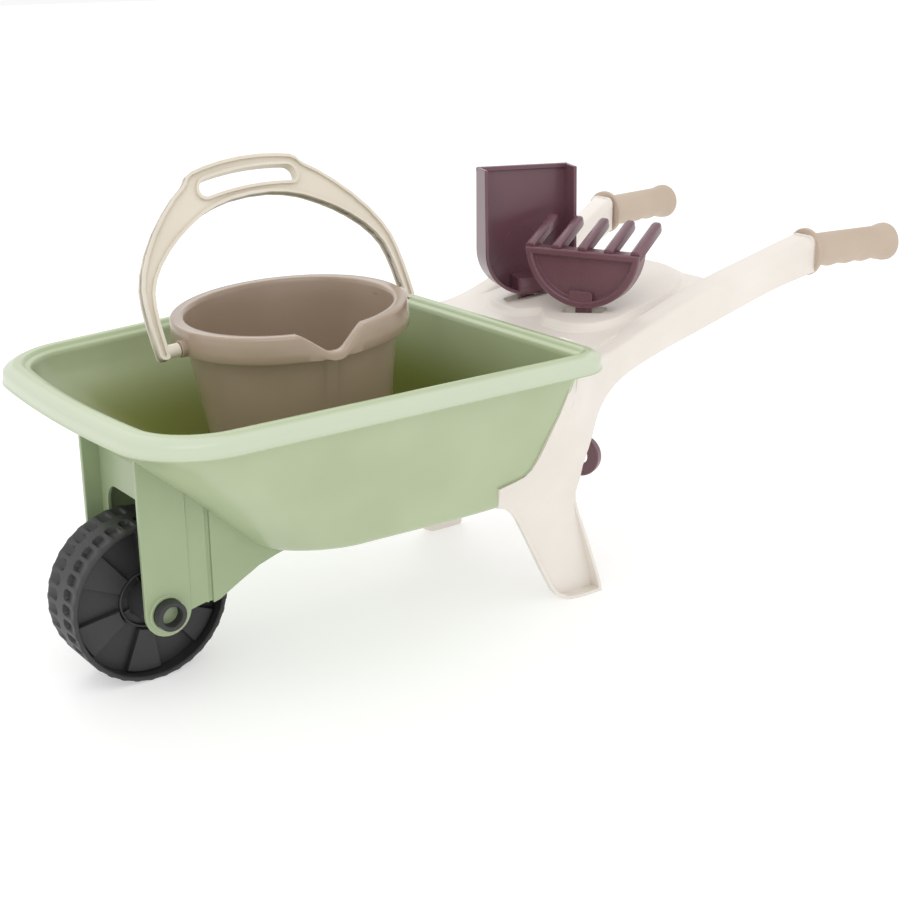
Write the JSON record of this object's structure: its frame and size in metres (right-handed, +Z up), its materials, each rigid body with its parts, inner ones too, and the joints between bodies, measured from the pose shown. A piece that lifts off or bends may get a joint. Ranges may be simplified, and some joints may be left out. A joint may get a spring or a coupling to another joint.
{
  "type": "toy wheelbarrow",
  "caption": "Child's plastic wheelbarrow: tub with fork and treaded wheel, legged frame with tool deck and gripped arms, pouring bucket with bail, hooked shovel and rake.",
  "frame": {"origin": "on the ground, under the middle of the barrow's length and width", "axes": "+X from the wheel back to the grips, +Y to the far side, +Z up"},
  "size_m": [0.7666, 0.3688, 0.3883],
  "materials": {
    "tray_green": "satin moulded plastic, sage green",
    "frame_cream": "satin moulded plastic, warm cream",
    "grip_tan": "finely textured plastic, tan",
    "wheel_black": "sparked moulded plastic, black",
    "bucket_taupe": "moulded plastic, taupe, glossy band",
    "bail_cream": "moulded plastic, light beige",
    "tool_plum": "moulded plastic, plum, polished edges"
  },
  "bodies": {
    "barrow": {"tray": "tray_green", "frame": "frame_cream", "grip_near": "grip_tan", "grip_far": "grip_tan"},
    "wheel": {"wheel_half_near": "wheel_black", "wheel_half_far": "wheel_black"},
    "bucket": {"bucket": "bucket_taupe"},
    "bail": {"bucket_handle": "bail_cream"},
    "shovel": {"shovel": "tool_plum"},
    "rake": {"rake": "tool_plum"}
  },
  "joints": [
    {"name": "wheel_spin", "type": "hinge", "parent": "barrow", "child": "wheel", "pos_m": [-0.31807, 0, 0.0652], "axis": [0, 1, 0], "continuous": true},
    {"name": "bucket_lift", "type": "slide", "parent": "barrow", "child": "bucket", "axis": [0, 0, 1], "range_m": [0, 0.25]},
    {"name": "bail_swing", "type": "hinge", "parent": "bucket", "child": "bail", "pos_m": [-0.17109, 0, 0.26018], "axis": [0.9976, 0, 0.0698], "range_deg": [-63, 114]},
    {"name": "shovel_lift", "type": "slide", "parent": "barrow", "child": "shovel", "axis": [0, 0, 1], "range_m": [0, 0.036]},
    {"name": "rake_lift", "type": "slide", "parent": "barrow", "child": "rake", "axis": [0, 0, 1], "range_m": [0, 0.18]}
  ]
}
